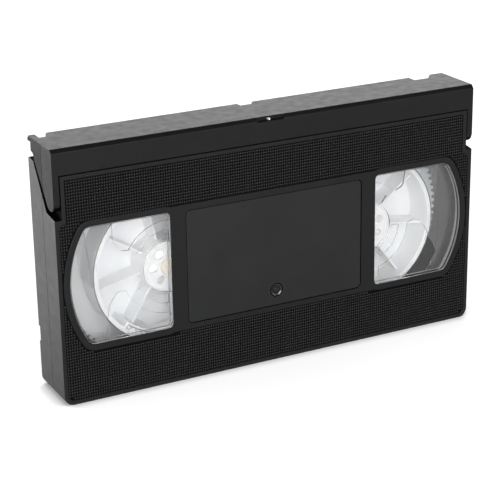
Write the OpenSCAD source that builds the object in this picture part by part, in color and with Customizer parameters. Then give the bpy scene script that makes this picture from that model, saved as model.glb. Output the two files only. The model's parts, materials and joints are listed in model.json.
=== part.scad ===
// Video tape cassette with a spring-loaded door, two reels, reel brakes and a tape leader.
// It stands on its spine: X is its width, Y its thickness (window face at -Y), Z its depth.

/* [Case] */
// Overall width, along X
case_w = 188; // [187:0.5:190]
// Overall thickness, along Y
case_t = 25; // [24.8:0.1:25.6]
// Overall depth from the spine to the door, along Z
case_d = 104; // [104:0.5:106]
// Thickness of the shell plates and outer walls
wall = 2; // [1.8:0.1:2.1]
// Radius of the rounded corners at the spine
corner_r = 4; // [2:0.5:5]

/* [Windows and label] */
// Straight inner side of each window, from the middle of the cassette
window_x = 46.5; // [46.5:0.5:50]
// Lower edge of the windows
window_z0 = 23.5; // [22:0.5:28]
// Upper edge of the windows
window_z1 = 72; // [66:0.5:73]
// How far the curved outer side stands inside the reel's rim
window_in = 0.9; // [0.7:0.1:4]
// Radius of the inner corners of the windows
window_corner_r = 2; // [1.5:0.1:3]
// Radius of the outer corners of the windows
window_outer_r = 3.8; // [2:0.1:4.5]
// Width of the label recess
label_w = 80; // [60:1:82]
// Height of the label recess
label_h = 47.6; // [40:0.2:48]
// Depth of the label recesses
label_deep = 0.4; // [0.2:0.1:0.6]
// Width of the window flange that laps behind the plate
window_lap = 1.3; // [0.8:0.1:1.4]
// Width of the smooth border round the face
border_w = 1.7; // [1.2:0.1:2.2]
// Width of the smooth frame round each window
frame_w = 2.5; // [1.5:0.1:3]
// Depth of the sunk grip field of the face
grip_deep = 0.25; // [0.15:0.05:0.4]

/* [Reels] */
// Distance between the two reel axes
reel_spacing = 92; // [92:0.1:92.4]
// Height of the reel axes above the spine
reel_z = 48; // [47.6:0.1:48.4]
// Radius of the drum that the tape is wound on
drum_r = 31.4; // [28:0.2:34]
// Free gap round the clear upper flange
reel_gap = 1.9; // [1.8:0.1:3]
// How far the brake teeth of the lower flange stand inside the upper flange's rim
tooth_in = 2.1; // [2.1:0.1:3]
// Number of brake teeth
teeth = 90; // [72:6:90]
// Radius of the drive socket in the hub
socket_r = 8.6; // [8:0.1:8.8]

/* [Door] */
// How far the door reaches down the window face
door_lap = 10.3; // [9:0.1:10.5]
// Thickness of the door's front panel
door_wall = 2.2; // [2:0.1:2.4]
// Radius of the door's hinge pins
hinge_pin_r = 1.5; // [1.2:0.1:1.6]

/* [Tape guides] */
// Distance of the guide rollers from the side
guide_in = 14; // [14:0.5:15]
// Radius of the guide rollers
roller_r = 3; // [2.6:0.1:3]
// Radius of the steel guide pins
guide_pin_r = 1; // [0.8:0.1:1.2]

/* [Openings in the lower shell] */
// Diameter of the brake release hole
release_d = 6.35; // [6:0.05:6.4]
// Diameter of the lamp hole
lamp_d = 10; // [9:0.2:10.4]
// Diameter of the round datum hole
datum_d = 4; // [3.6:0.1:4.2]

/* [Fits] */
// Free gap between pieces that pass each other
gap = 0.3; // [0.25:0.05:0.35]
// Radial clearance of pins that turn in their holes
run = 0.05; // [0.03:0.01:0.08]

/* [Hidden] */
$fn = 96;
hw = case_w / 2;
ht = case_t / 2;
plate_y = ht - wall;
reel_x = reel_spacing / 2;
label_z0 = 23.8;

hinge_y = -ht + 4;
hinge_z = case_d - 20.8;
ear_r = 4;
ear_t = 2.6;
ear_x = hw - ear_t;
recess_x1 = ear_x - 0.5;
recess_x0 = recess_x1 - wall;
slot_z = hinge_z - 6.9;
shoulder_z = case_d - 8.8;
door_in_z = case_d - door_wall;
plate_end_z = door_in_z - 0.5;
face_end_z = case_d - door_lap - gap;
lip_y0 = -plate_y + 0.2;
lip_y1 = lip_y0 + 1.4;
lip_z = case_d - 4.6;

guide_x = hw - guide_in;
guide_z = case_d - 8;
tape_h = 12.65;
tape_t = 0.15;
tape_r = roller_r + gap;
tape_z = guide_z + tape_r;
post_r = 1.4;
post_x = guide_x - 13.5;

flange_r = min(hw - wall - reel_x, reel_x, reel_z - wall, tape_z - gap - reel_z) - reel_gap;
tooth_r = flange_r - tooth_in;
window_r = flange_r - window_in;
pocket_x0 = 9.5;
pocket_x1 = post_x - 3.5;
pocket_z0 = case_d - 24;
pocket_r = flange_r + 2.5;
pocket_wall = 1.2;
tongue_z = tape_z - 1.3;
lamp_z = case_d - 12.5;
beam_h = 3.4;
datum_x = guide_x - 8.5;
datum_z = case_d - 14.5;
datum_deep = 4;
release_z = 19;

screw_r = 1.2;
screw_head_r = 2.5;
boss_r = 3.8;
leader_r = drum_r + 0.5;
span_run = [guide_x - reel_x, guide_z - reel_z];
span_lean = atan2(span_run[1], span_run[0]) - acos((leader_r + gap - tape_r) / norm(span_run));
screw_z = case_d - 28.5;
span_reach = leader_r + gap + tape_t - (screw_z - reel_z) * sin(span_lean);
span_x = reel_x + span_reach / cos(span_lean);
screw_x = hw - 8;
screw_top_x = max(screw_x, span_x + boss_r + gap);
SCREWS = [[-screw_x, 6.5], [screw_x, 6.5], [-screw_top_x, screw_z], [screw_top_x, screw_z],
  [0, screw_z - 1.5]];

flange_low_y0 = 6.8;
flange_low_y1 = 8.2;
drum_y0 = -6.5;
clear_t = 0.8;
hub_r = 10.4;
hub_y0 = -6.8;
foot_r = 14;
foot_y = ht - 1.2;
drive_r = foot_r + 1;
button_r = 3.2;
button_y = -8.3;
ribs = 8;
rib_t = 0.8;
button_stem_r = 1.2;
press = 0.02;
CLAMP_AT = -131.5;
SUPPLY_RIBS = 13.5;
TAKEUP_RIBS = 37;
SUPPLY_TURN = 115;
TAKEUP_TURN = -38.5;

brake_x = 6;
brake_z = 25;
brake_post_r = 1.2;
release_hinge_y = plate_y - 1.2;
release_hinge_z = 6.5;
lock_x = recess_x0 - 1.9;
lock_z = case_d - 19.5;
lock_hub_r = 1.7;
lock_post_r = 0.9;
lock_y0 = 4.2;
lock_y1 = 6.6;
button_z0 = case_d - 9.2;
button_z1 = case_d - 6.4;
button_y0 = lock_y1 + gap;
button_y1 = button_y0 + 2.7;
catch_z0 = door_in_z - 3;
catch_y0 = button_y0;
catch_reach = norm([catch_y0 - hinge_y, catch_z0 - hinge_z]);
catch_path_y = hinge_y + sqrt(pow(catch_reach, 2) - pow(plate_end_z - hinge_z, 2)) - gap;

tab_x0 = -hw + 6;
tab_x1 = tab_x0 + 8;
tab_y0 = 3.5;
tab_y1 = plate_y - 1;

// Extrudes an outline drawn in X and Z from y0 to y1.
module slab(y0, y1) {
  translate([0, y1, 0]) rotate([90, 0, 0]) linear_extrude(y1 - y0) children();
}

// Extrudes an outline drawn in Y and Z from x0 to x1.
module across(x0, x1) {
  translate([x0, 0, 0]) rotate([90, 0, 90]) linear_extrude(x1 - x0) children();
}

// A cylinder along Y, centred on x and z.
module round_y(x, z, r, y0, y1) {
  translate([x, y1, z]) rotate([90, 0, 0]) cylinder(r = r, h = y1 - y0);
}

// A cylinder along X, centred on y and z.
module round_x(y, z, r, x0, x1) {
  translate([x0, y, z]) rotate([0, 90, 0]) cylinder(r = r, h = x1 - x0);
}

// A box given by its two opposite corners.
module block(a, b) {
  translate(a) cube(b - a);
}

module both_sides() {
  children();
  mirror([1, 0, 0]) children();
}

module rounded_rect(x0, z0, x1, z1, r) {
  translate([x0 + r, z0]) square([x1 - x0 - 2 * r, z1 - z0]);
  translate([x0, z0 + r]) square([x1 - x0, z1 - z0 - 2 * r]);
  for (x = [x0 + r, x1 - r], z = [z0 + r, z1 - r]) translate([x, z]) circle(r);
}

// Outline of the case in X and Z, rounded at the spine and square at the far end.
module case_outline(z1) {
  rounded_rect(-hw, 0, hw, z1, corner_r);
  translate([-hw, corner_r]) square([case_w, z1 - corner_r]);
}

// Side view of the outer walls in Y and Z, with the sloped cut that clears the door's ear.
module side_outline() {
  polygon([[-ht, 0], [ht, 0], [ht, shoulder_z - 0.7], [ht - 2.2, shoulder_z],
    [hinge_y + 15.6, shoulder_z - 0.4], [hinge_y + 8, hinge_z], [hinge_y + 4.3, slot_z + 1.2],
    [-ht, slot_z]]);
}

function arc_points(x, z, r, a0, a1, steps) =
  [for (i = [0 : steps]) let (a = a0 + (a1 - a0) * i / steps) [x + r * cos(a), z + r * sin(a)]];

// Window outline on the right side: straight on three sides, curved about the reel on the
// outer one, with rounded corners; grow makes it larger all round.
module window_outline(grow) {
  inner_r = window_corner_r + grow;
  outer_r = window_outer_r + grow;
  rim_r = window_r + grow;
  x0 = window_x - grow;
  z0 = window_z0 - grow;
  z1 = window_z1 + grow;
  low = asin((z0 + outer_r - reel_z) / (rim_r - outer_r));
  high = asin((z1 - outer_r - reel_z) / (rim_r - outer_r));
  low_x = reel_x + (rim_r - outer_r) * cos(low);
  high_x = reel_x + (rim_r - outer_r) * cos(high);
  polygon(concat(
    arc_points(x0 + inner_r, z0 + inner_r, inner_r, 180, 270, 6),
    arc_points(low_x, z0 + outer_r, outer_r, -90, low, 8),
    arc_points(reel_x, reel_z, rim_r, low + 1, high - 1, 36),
    arc_points(high_x, z1 - outer_r, outer_r, high, 90, 8),
    arc_points(x0 + inner_r, z1 - inner_r, inner_r, 90, 180, 6)));
}

// Sunk grip field of the face: all of it but the border, the middle and the window frames.
module grip_outline() {
  difference() {
    union() {
      rounded_rect(-hw + border_w, border_w, hw - border_w, slot_z - border_w, 2.4);
      translate([-ear_x + 0.3 + border_w, corner_r + 2])
        square([2 * (ear_x - 0.3 - border_w), face_end_z - border_w - corner_r - 2]);
    }
    translate([-window_x, window_z0 - 2]) square([2 * window_x, window_z1 - window_z0 + 4]);
    window_outline(frame_w);
    mirror([1, 0]) window_outline(frame_w);
  }
}

// Open area of the right mouth pocket, kept outside the reel's circle.
module pocket_outline(grow) {
  difference() {
    translate([pocket_x0 - grow, pocket_z0 - grow])
      square([pocket_x1 - pocket_x0 + 2 * grow, case_d]);
    translate([reel_x, reel_z]) circle(pocket_r - grow, $fn = 180);
  }
}

module pocket_walls_outline() {
  intersection() {
    translate([0, pocket_z0 - pocket_wall]) square([hw, tongue_z - pocket_z0 + pocket_wall]);
    difference() {
      pocket_outline(pocket_wall);
      pocket_outline(0);
    }
  }
}

// Every wall and boss that both half shells share, before it is cut at the parting plane.
module case_walls() {
  difference() {
    union() {
      both_sides() across(hw - wall, hw) side_outline();
      block([-hw, -ht, 0], [hw, ht, wall]);
      both_sides() across(recess_x0, hw) difference() {
        side_outline();
        translate([0, -wall]) side_outline();
      }
      both_sides() block([recess_x0, lip_y0, slot_z - wall], [recess_x1, plate_y + 1, plate_end_z]);
      both_sides() slab(lip_y0, plate_y + 1) pocket_walls_outline();
      block([-pocket_x0, lip_y0, tongue_z - pocket_wall], [pocket_x0, plate_y + 1, tongue_z]);
      for (s = SCREWS) round_y(s[0], s[1], boss_r, -plate_y - 1, plate_y + 1);
    }
    block([-recess_x1 - 1, -beam_h / 2, lamp_z - beam_h / 2],
      [recess_x1 + 1, beam_h / 2, lamp_z + beam_h / 2]);
    both_sides() round_x(hinge_y, hinge_z, hinge_pin_r + run, recess_x0 - 1, recess_x1 + 1);
  }
}

// Keeps the children inside the case's rounded outline between two thickness levels.
module within_case(y0, y1) {
  intersection() {
    union() children();
    slab(y0, y1) case_outline(case_d);
  }
}

module spine_label_recess() {
  block([-hw + 20, -ht + 4, -1], [hw - 20, ht - 4, label_deep]);
}

module upper_shell() {
  color("#232426") difference() {
    union() {
      within_case(-ht, 0) case_walls();
      slab(-ht, -plate_y) difference() {
        case_outline(face_end_z);
        both_sides() translate([ear_x - 0.3, slot_z]) square([ear_t + 1, case_d]);
      }
      block([-recess_x1, lip_y0 - 0.3, face_end_z - 3], [recess_x1, lip_y1, face_end_z]);
      block([-recess_x1, lip_y0, face_end_z - 1], [recess_x1, lip_y1, lip_z]);
      both_sides() round_y(guide_x, guide_z, 2.2, lip_y0, -tape_h / 2 - gap - 0.3);
    }
    both_sides() slab(-ht - 1, -plate_y + 1) window_outline(0);
    slab(-ht - 1, -ht + grip_deep) grip_outline();
    slab(-ht - 1, -ht + label_deep)
      rounded_rect(-label_w / 2, label_z0, label_w / 2, label_z0 + label_h, 2);
    difference() {
      round_y(0, 30.5, 3, -ht - 1, -ht + label_deep + 0.3);
      round_y(0, 30.5, 1, -ht - 1, 0);
    }
    for (s = SCREWS) round_y(s[0], s[1], screw_r + press, -plate_y, 1);
    both_sides() round_y(guide_x, guide_z, guide_pin_r + press, lip_y0 + 0.5, 0);
    for (x = [-5, 5]) round_y(x, reel_z, 0.9, -plate_y - 1, 0);
    spine_label_recess();
  }
}

// Floor of the lower shell with its mouth pockets and front corners cut out.
module floor_outline() {
  difference() {
    case_outline(plate_end_z);
    both_sides() pocket_outline(0);
    both_sides() translate([recess_x1, shoulder_z]) square([hw, case_d]);
  }
}

module brake_posts() {
  both_sides() {
    round_y(brake_x, brake_z, 2.2, flange_low_y1 + gap, plate_y + 1);
    round_y(brake_x, brake_z, brake_post_r, 3.6, plate_y + 1);
    difference() {
      block([3.4, release_hinge_y - 1.6, release_hinge_z - 2],
        [5, plate_y + 1, release_hinge_z + 2]);
      round_x(release_hinge_y, release_hinge_z, 0.7 + run, 3, 6);
    }
  }
}

module lower_shell() {
  color("#1b1c1e") difference() {
    union() {
      within_case(0, ht) case_walls();
      slab(plate_y, ht) floor_outline();
      both_sides() round_y(reel_x, reel_z, drive_r + 1.6, flange_low_y1 + gap, plate_y + 1);
      brake_posts();
      round_y(lock_x, lock_z, lock_post_r, lock_y0 - 2, plate_y + 1);
      round_y(lock_x, lock_z, lock_hub_r - 0.2, lock_y1 + gap, plate_y + 1);
      both_sides() round_y(guide_x, guide_z, 2.2, tape_h / 2 + gap + 0.3, plate_y + 1);
      both_sides() round_y(datum_x, datum_z, datum_d / 2 + 1.6, ht - datum_deep - 1.2, plate_y + 1);
      block([-guide_x + 2, -5.5, tape_z + 0.4], [-guide_x + 4, plate_y + 1, plate_end_z]);
    }
    both_sides() round_y(reel_x, reel_z, drive_r, 0, ht + 1);
    round_y(0, release_z, release_d / 2, 0, ht + 1);
    round_y(0, lamp_z, lamp_d / 2, plate_y - 1, ht + 1);
    round_y(datum_x, datum_z, datum_d / 2, ht - datum_deep, ht + 1);
    slab(ht - datum_deep, ht + 1)
      rounded_rect(-datum_x - 2.4, datum_z - 1.8, -datum_x + 2.4, datum_z + 1.8, 1.79);
    for (s = SCREWS) {
      round_y(s[0], s[1], 1.5, -1, ht + 1);
      round_y(s[0], s[1], screw_head_r + 0.3, ht - 3.2, ht + 1);
    }
    both_sides() round_y(guide_x, guide_z, guide_pin_r + press, 0, plate_y + 1);
    both_sides() round_y(post_x, tape_z - post_r - 0.1, post_r + press, 0, plate_y + 1);
    block([recess_x0 - 1, button_y0 - gap, button_z0 - 0.6], [recess_x1 + 1, plate_y - gap, case_d]);
    block([recess_x0 - 1, catch_path_y, catch_z0 - gap], [recess_x1 + 1, plate_y - gap, case_d]);
    both_sides() block([hw - 1.2, ht - 1.2, 19], [hw + 1, ht + 1, 25.4]);
    block([tab_x0, tab_y0, -1], [tab_x1, tab_y1, wall + 1]);
    block([-guide_x + 1.7, -6.3, tape_z + 0.9], [-guide_x + 5, 5.2, tape_z + 1.3]);
    spine_label_recess();
  }
}

// Right window pane: a raised middle in the opening and a flange behind the plate.
module window_pane() {
  color("#d9dde0", 0.35) {
    slab(-ht + 0.3, -plate_y) window_outline(-0.1);
    slab(-plate_y, -plate_y + 1.2) difference() {
      window_outline(window_lap);
      window_outline(-0.8);
    }
  }
}

module window_right() window_pane();

module window_left() mirror([1, 0, 0]) window_pane();

// One self-tapping screw along Y, its cross-recessed head sunk in the lower shell.
module case_screw(x, z) {
  head_y = ht - 3.2;
  difference() {
    union() {
      round_y(x, z, screw_head_r, head_y, head_y + 1.6);
      round_y(x, z, screw_r, -8, head_y);
    }
    for (a = [0, 90]) translate([x, head_y + 1.6, z]) rotate([0, a + 45, 0])
      cube([3, 1.8, 0.7], center = true);
  }
}

module case_screws() {
  color("#8b8f94") for (s = SCREWS) case_screw(s[0], s[1]);
}

// Ear at each end of the door, in Y and Z, rounded about the hinge pin.
module ear_outline() {
  slope = [0.612, 0.791];
  polygon([[-ht, hinge_z], [-ht, case_d - 1.4], [-ht + 1.4, case_d], [ht - 3.2, case_d],
    [ht - 3, case_d - 5.6], [ht - 4.8, case_d - 6], [ht - 6.1, case_d - 7.3],
    [ht - 6.2, case_d - 8.2],
    [hinge_y + ear_r * slope[1], hinge_z - ear_r * slope[0]], [hinge_y, hinge_z]]);
  translate([hinge_y, hinge_z]) circle(ear_r);
}

// Section of the door in Y and Z; its lower edge is bevelled to clear the face as it swings.
module door_outline() {
  polygon([[-ht, case_d - door_lap], [-ht, case_d - 1.4], [-ht + 1.4, case_d],
    [ht - 1.2, case_d], [ht - 0.2, case_d - 1], [ht - 0.2, door_in_z],
    [-plate_y - 0.1, door_in_z], [-plate_y - 0.1, case_d - door_lap + 0.6]]);
}

// Cut-outs in the door's lower edge, in X and Y.
module door_notches() {
  translate([0, 0, door_in_z - 1]) linear_extrude(door_wall + 2) {
    polygon([[-hw + 2.8, 6.5], [-hw + 5.2, 6.5], [-hw + 7.1, 10.7], [-hw + 7.6, ht + 1],
      [-hw + 2.8, ht + 1]]);
    polygon([[-4.6, 8.4], [0.2, 8.4], [1.8, 10.2], [2.4, ht + 1], [-4.8, ht + 1]]);
    polygon([[hw - 16.7, 6.8], [hw - 10.1, 6.8], [hw - 6.4, 11.2], [hw - 6, ht + 1],
      [hw - 16.7, ht + 1]]);
  }
}

module door() {
  color("#1f2022") {
    difference() {
      union() {
        across(-hw, hw) door_outline();
        both_sides() across(ear_x, hw) ear_outline();
      }
      door_notches();
      block([-7.6, -ht - 1, case_d - 1.7], [4, -ht + 2, case_d - 0.5]);
    }
    round_y(-2.4, case_d - 1.1, 0.5, -ht + 0.5, -ht + 2.4);
    both_sides() round_x(hinge_y, hinge_z, hinge_pin_r, recess_x0 - 0.3, ear_x + 0.5);
    round_x(hinge_y, hinge_z, 0.9, -recess_x0 + gap, -recess_x0 + 4.4);
    block([recess_x0, catch_y0, catch_z0], [recess_x1 - gap, catch_y0 + 2.5, door_in_z + 0.5]);
  }
}

// Torsion spring round the left hinge pin. Its long leg ends under the door's panel.
module door_spring() {
  x0 = -recess_x0 + 0.7;
  outer_r = 1.65;
  inner_r = 1.15;
  wire = outer_r - inner_r;
  color("#a9adb2") {
    difference() {
      round_x(hinge_y, hinge_z, outer_r, x0, x0 + 3.2);
      round_x(hinge_y, hinge_z, inner_r, x0 - 1, x0 + 4.2);
    }
    block([x0 + 1.4, hinge_y + inner_r, hinge_z],
      [x0 + 1.4 + wire, hinge_y + outer_r, door_in_z - gap]);
    block([x0 + 2.4, hinge_y - outer_r, hinge_z - 3],
      [x0 + 2.4 + wire, hinge_y - inner_r, hinge_z]);
  }
}

// Lever that holds the door shut. Its arm stands a gap beside the catch on the door and
// turns inwards when the button in the side recess is pressed.
module door_lock() {
  arm_x1 = recess_x0 - gap;
  color("#2b2c2f") difference() {
    union() {
      round_y(lock_x, lock_z, lock_hub_r, lock_y0, lock_y1);
      block([lock_x, lock_y0, lock_z], [arm_x1, lock_y1, case_d - 3]);
      block([lock_x, lock_y0, button_z0], [arm_x1, button_y1, button_z1]);
      block([arm_x1 - 0.1, button_y0, button_z0], [recess_x1 - 0.1, button_y1, button_z1]);
    }
    round_y(lock_x, lock_z, lock_post_r + run, 0, lock_y1 + 1);
  }
}

// Torsion spring round the lever's post, just above the lever.
module door_lock_spring() {
  y1 = lock_y0 - gap;
  y0 = y1 - 1.3;
  outer_r = lock_hub_r;
  inner_r = outer_r - 0.5;
  color("#a9adb2") {
    difference() {
      round_y(lock_x, lock_z, outer_r, y0, y1);
      round_y(lock_x, lock_z, inner_r, y0 - 1, y1 + 1);
    }
    block([lock_x - outer_r, y0, lock_z], [lock_x - inner_r, y0 + 0.5, lock_z + 5.5]);
    block([lock_x + inner_r, y1 - 0.5, lock_z - 3], [lock_x + outer_r, y1, lock_z]);
  }
}

// Outline of the toothed lower flange: each tooth has a flat tip and a sloped back.
module toothed_outline() {
  pitch = 360 / teeth;
  root_r = tooth_r - 1.3;
  polygon([for (i = [0 : teeth - 1], c = [[0, tooth_r], [0.36, tooth_r], [0.52, root_r],
    [0.88, root_r]]) let (a = (i + c[0]) * pitch) c[1] * [cos(a), sin(a)]]);
}

module ring_outline(r0, r1) {
  difference() {
    circle(r1, $fn = 180);
    circle(r0, $fn = 180);
  }
}

// Sector of a ring between two angles, for the notch in the drum and the clamp in it.
module arc_outline(r0, r1, a0, a1) {
  intersection() {
    ring_outline(r0, r1);
    polygon([[0, 0], for (i = [0 : 4]) let (a = a0 + (a1 - a0) * i / 4) 60 * [cos(a), sin(a)]]);
  }
}

// White moulding of a reel about the Y axis: toothed flange, drum, ribs and splined hub.
module reel_body() {
  color("#eceef0") difference() {
    union() {
      slab(flange_low_y0, flange_low_y1) toothed_outline();
      slab(drum_y0, flange_low_y0) difference() {
        ring_outline(drum_r - 1.8, drum_r);
        arc_outline(drum_r - 3, drum_r + 1, CLAMP_AT - 8, CLAMP_AT + 8);
      }
      for (i = [0 : ribs - 1]) rotate([0, -i * 360 / ribs, 0])
        block([hub_r - 1, -2.2, -rib_t / 2], [drum_r - 1, flange_low_y0 + 0.5, rib_t / 2]);
      slab(drum_y0 + 0.6, flange_low_y0 + 0.5)
        arc_outline(drum_r - 4.4, drum_r - 1, CLAMP_AT - 13, CLAMP_AT + 13);
      round_y(0, 0, hub_r, hub_y0, flange_low_y1);
      round_y(0, 0, foot_r, flange_low_y1 - 0.5, foot_y);
    }
    difference() {
      round_y(0, 0, socket_r, hub_y0 + 1.4, foot_y + 1);
      for (i = [0 : 5]) rotate([0, i * 60, 0])
        block([socket_r - 1.2, -3, -0.8], [socket_r + 1, 10, 0.8]);
    }
    for (i = [0 : 5]) rotate([0, i * 60 + 11.5, 0]) round_y(6.1, 0, 1.7, hub_y0 - 1, 0);
    round_y(0, 0, button_stem_r + press, hub_y0 - 1, 0);
    slab(drum_y0 - 1, flange_low_y0) {
      arc_outline(drum_r - 3.6, drum_r - 1.8, CLAMP_AT - 11, CLAMP_AT + 11);
      arc_outline(drum_r - 3.6, drum_r + 1, CLAMP_AT - 8, CLAMP_AT + 8);
    }
    slab(drum_y0 - 1, drum_y0 + 0.5) ring_outline(drum_r - 1.2, drum_r - 0.75);
    slab(hub_y0 - 1, hub_y0 + 0.5) ring_outline(hub_r - 0.95, hub_r - 0.55);
    slab(hub_y0 - 1, hub_y0 + 0.25) ring_outline(button_r + 0.6, hub_r - 2);
  }
}

// One of the three large openings of the clear flange, centred on the X axis: curved along
// the hub and the rim, with straight sides that close in and rounded inner corners.
module flange_opening() {
  corner = [19.6, 11.4];
  intersection() {
    ring_outline(19.4, flange_r - 5.8);
    union() {
      polygon([[16, -corner[1]], [corner[0], -14.4], [24, -14.4], [37, -8.4], [45, -8.4],
        [45, 8.4], [37, 8.4], [24, 14.4], [corner[0], 14.4], [16, corner[1]]]);
      for (s = [-1, 1]) translate([corner[0], s * corner[1]]) circle(3);
    }
  }
}

// Clear upper flange with three large openings and three slots round the hub.
module clear_flange(turn) {
  color("#e4e8ea", 0.3) slab(drum_y0 - clear_t, drum_y0) rotate(turn) difference() {
    ring_outline(hub_r + 0.2, flange_r);
    for (i = [0 : 2]) rotate(i * 120) {
      flange_opening();
      arc_outline(hub_r + 1.2, 15.3, -26, 34);
    }
  }
}

module reel_button() {
  color("#e0dacb") {
    round_y(0, 0, button_r, button_y, hub_y0);
    round_y(0, 0, button_stem_r, hub_y0, hub_y0 + 1.4);
  }
}

// Plug that clamps the end of the leader in the drum's notch, its inner side serrated.
module tape_clamp(at) {
  color("#f4f5f6") slab(drum_y0, flange_low_y0) difference() {
    union() {
      arc_outline(drum_r - 2.2, drum_r, at - 7.6, at + 7.6);
      arc_outline(drum_r - 3.3, drum_r - 2.1, at - 10.4, at + 10.4);
    }
    for (a = [-7.5 : 5 : 7.5]) arc_outline(drum_r - 3.5, drum_r - 2.5, at + a - 1, at + a + 1);
  }
}

// Turns of clear leader wound on the drum.
module leader_turns() {
  color("#cfd3d6", 0.5) slab(-tape_h / 2, tape_h / 2)
    ring_outline(drum_r, leader_r);
}

module at_reel(side) {
  translate([side * reel_x, 0, reel_z]) children();
}

module supply_reel() at_reel(-1) rotate([0, -SUPPLY_RIBS, 0]) reel_body();

module supply_clear_flange() at_reel(-1) clear_flange(SUPPLY_TURN);

module supply_button() at_reel(-1) reel_button();

module supply_clamp() at_reel(-1) tape_clamp(CLAMP_AT + SUPPLY_RIBS);

module supply_leader() at_reel(-1) leader_turns();

module takeup_reel() at_reel(1) rotate([0, -TAKEUP_RIBS, 0]) reel_body();

module takeup_clear_flange() at_reel(1) clear_flange(TAKEUP_TURN);

module takeup_button() at_reel(1) reel_button();

module takeup_clamp() at_reel(1) tape_clamp(CLAMP_AT + TAKEUP_RIBS);

module takeup_leader() at_reel(1) leader_turns();

// Flat spring under the window face that holds both reels down by their buttons.
module reel_leaf_spring() {
  tip_y = button_y - gap - 0.1;
  leaf_t = 0.35;
  tip_x = reel_x - 1.6;
  color("#b9bcc0") difference() {
    translate([0, 0, reel_z - 4]) linear_extrude(8) polygon([[-8, -plate_y], [8, -plate_y],
      [tip_x, tip_y - leaf_t], [tip_x, tip_y], [8, -plate_y + leaf_t], [-8, -plate_y + leaf_t],
      [-tip_x, tip_y], [-tip_x, tip_y - leaf_t]]);
    for (x = [-5, 5]) round_y(x, reel_z, 0.95, -ht, 0);
  }
}

module leaf_spring_rivets() {
  color("#9a9ea3") for (x = [-5, 5]) {
    round_y(x, reel_z, 1.8, -plate_y + 0.35, -plate_y + 1);
    round_y(x, reel_z, 0.88, -plate_y - 1, -plate_y + 0.35);
  }
}

// Points of one side of a bent bar: each path point moved sideways by w, mitred at bends.
function bar_side(path, w) = let (last = len(path) - 1) [for (i = [0 : last]) let (
    d0 = path[max(i, 1)] - path[max(i, 1) - 1],
    d1 = path[min(i, last - 1) + 1] - path[min(i, last - 1)],
    n0 = [-d0[1], d0[0]] / norm(d0),
    n1 = [-d1[1], d1[0]] / norm(d1))
  path[i] + (n0 + n1) * w / (1 + n0 * n1)];

function backwards(points) = [for (i = [1 : len(points)]) points[len(points) - i]];

// Right brake lever at rest, its pawl just short of the reel's teeth.
module brake_lever() {
  end = [19.5, 12.8];
  inward = ([reel_x, reel_z] - end) / norm([reel_x, reel_z] - end);
  tip = [reel_x, reel_z] - inward * (tooth_r + gap);
  arm = [[3.1, 30.1], [brake_x, brake_z], [12, 16.5], end];
  color("#d7d9dc") difference() {
    union() {
      slab(flange_low_y0, flange_low_y1)
        polygon(concat(bar_side(arm, 1), [tip], backwards(bar_side(arm, -1))));
      round_y(brake_x, brake_z, 2.4, flange_low_y0, flange_low_y1);
    }
    round_y(brake_x, brake_z, brake_post_r + run, 0, flange_low_y1 + 1);
  }
}

module brake_lever_right() brake_lever();

module brake_lever_left() mirror([1, 0, 0]) brake_lever();

module brake_spring() {
  y1 = flange_low_y0 - gap;
  color("#a9adb2") {
    difference() {
      round_y(brake_x, brake_z, 2, y1 - 2.4, y1);
      round_y(brake_x, brake_z, 1.5, y1 - 3, y1 + 1);
    }
    block([brake_x + 1.5, y1 - 0.5, brake_z - 8], [brake_x + 2, y1, brake_z]);
    block([brake_x - 2, y1 - 2.4, brake_z - 6], [brake_x - 1.5, y1 - 1.9, brake_z]);
  }
}

module brake_spring_right() brake_spring();

module brake_spring_left() mirror([1, 0, 0]) brake_spring();

// Lever over the release hole; a pin pushed in lifts its wedge between the brake tails.
module brake_release() {
  plate_y0 = plate_y - 1.7;
  plate_y1 = plate_y - 0.5;
  wedge = [[-2.2, plate_y0 + 0.1], [-1.5, plate_y0 - 2.6], [1.5, plate_y0 - 2.6],
    [2.2, plate_y0 + 0.1]];
  color("#d7d9dc") {
    block([-3, plate_y0, release_hinge_z], [3, plate_y1, brake_z - 1]);
    block([-2.2, plate_y0, brake_z - 2], [2.2, plate_y1, brake_z + 6.5]);
    translate([0, 0, brake_z + 3.5]) linear_extrude(3) polygon(wedge);
    round_x(release_hinge_y, release_hinge_z, 0.9, -3, 3);
    round_x(release_hinge_y, release_hinge_z, 0.7, -4.9, 4.9);
  }
}

module guide_roller(x) {
  color("#e8eaec") difference() {
    round_y(x, guide_z, roller_r, -tape_h / 2 - gap, tape_h / 2 + gap);
    round_y(x, guide_z, guide_pin_r + run, -ht, ht);
  }
}

module guide_roller_left() guide_roller(-guide_x);

module guide_roller_right() guide_roller(guide_x);

module guide_pin(x) {
  color("#b9bcc0") round_y(x, guide_z, guide_pin_r, lip_y0 + 0.5, plate_y + 1);
}

module guide_pin_left() guide_pin(-guide_x);

module guide_pin_right() guide_pin(guide_x);

module tape_post(x) {
  color("#b9bcc0") round_y(x, tape_z - post_r - 0.1, post_r, lip_y1 + gap, plate_y + 1);
}

module tape_post_left() tape_post(-post_x);

module tape_post_right() tape_post(post_x);

// One face of the leader on the right side: off the drum and round the guide roller.
function span_path(t) =
  concat([[reel_x, reel_z] + (leader_r + gap + t) * [cos(span_lean), sin(span_lean)]],
    arc_points(guide_x, guide_z, tape_r + t, span_lean, 90, 12));

function mirrored(points) = [for (p = points) [-p[0], p[1]]];

module tape_span() {
  inner = span_path(0);
  outer = span_path(tape_t);
  color("#c4c8cb", 0.6) slab(-tape_h / 2, tape_h / 2)
    polygon(concat(inner, backwards(mirrored(inner)), mirrored(outer), backwards(outer)));
}

// Thin strip that carries the felt pad against the leader on the left post.
module pressure_spring() {
  color("#9fb0b8") block([-guide_x + 2, -5.2, tape_z + 0.95], [-post_x + 2, 5, tape_z + 1.2]);
}

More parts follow.
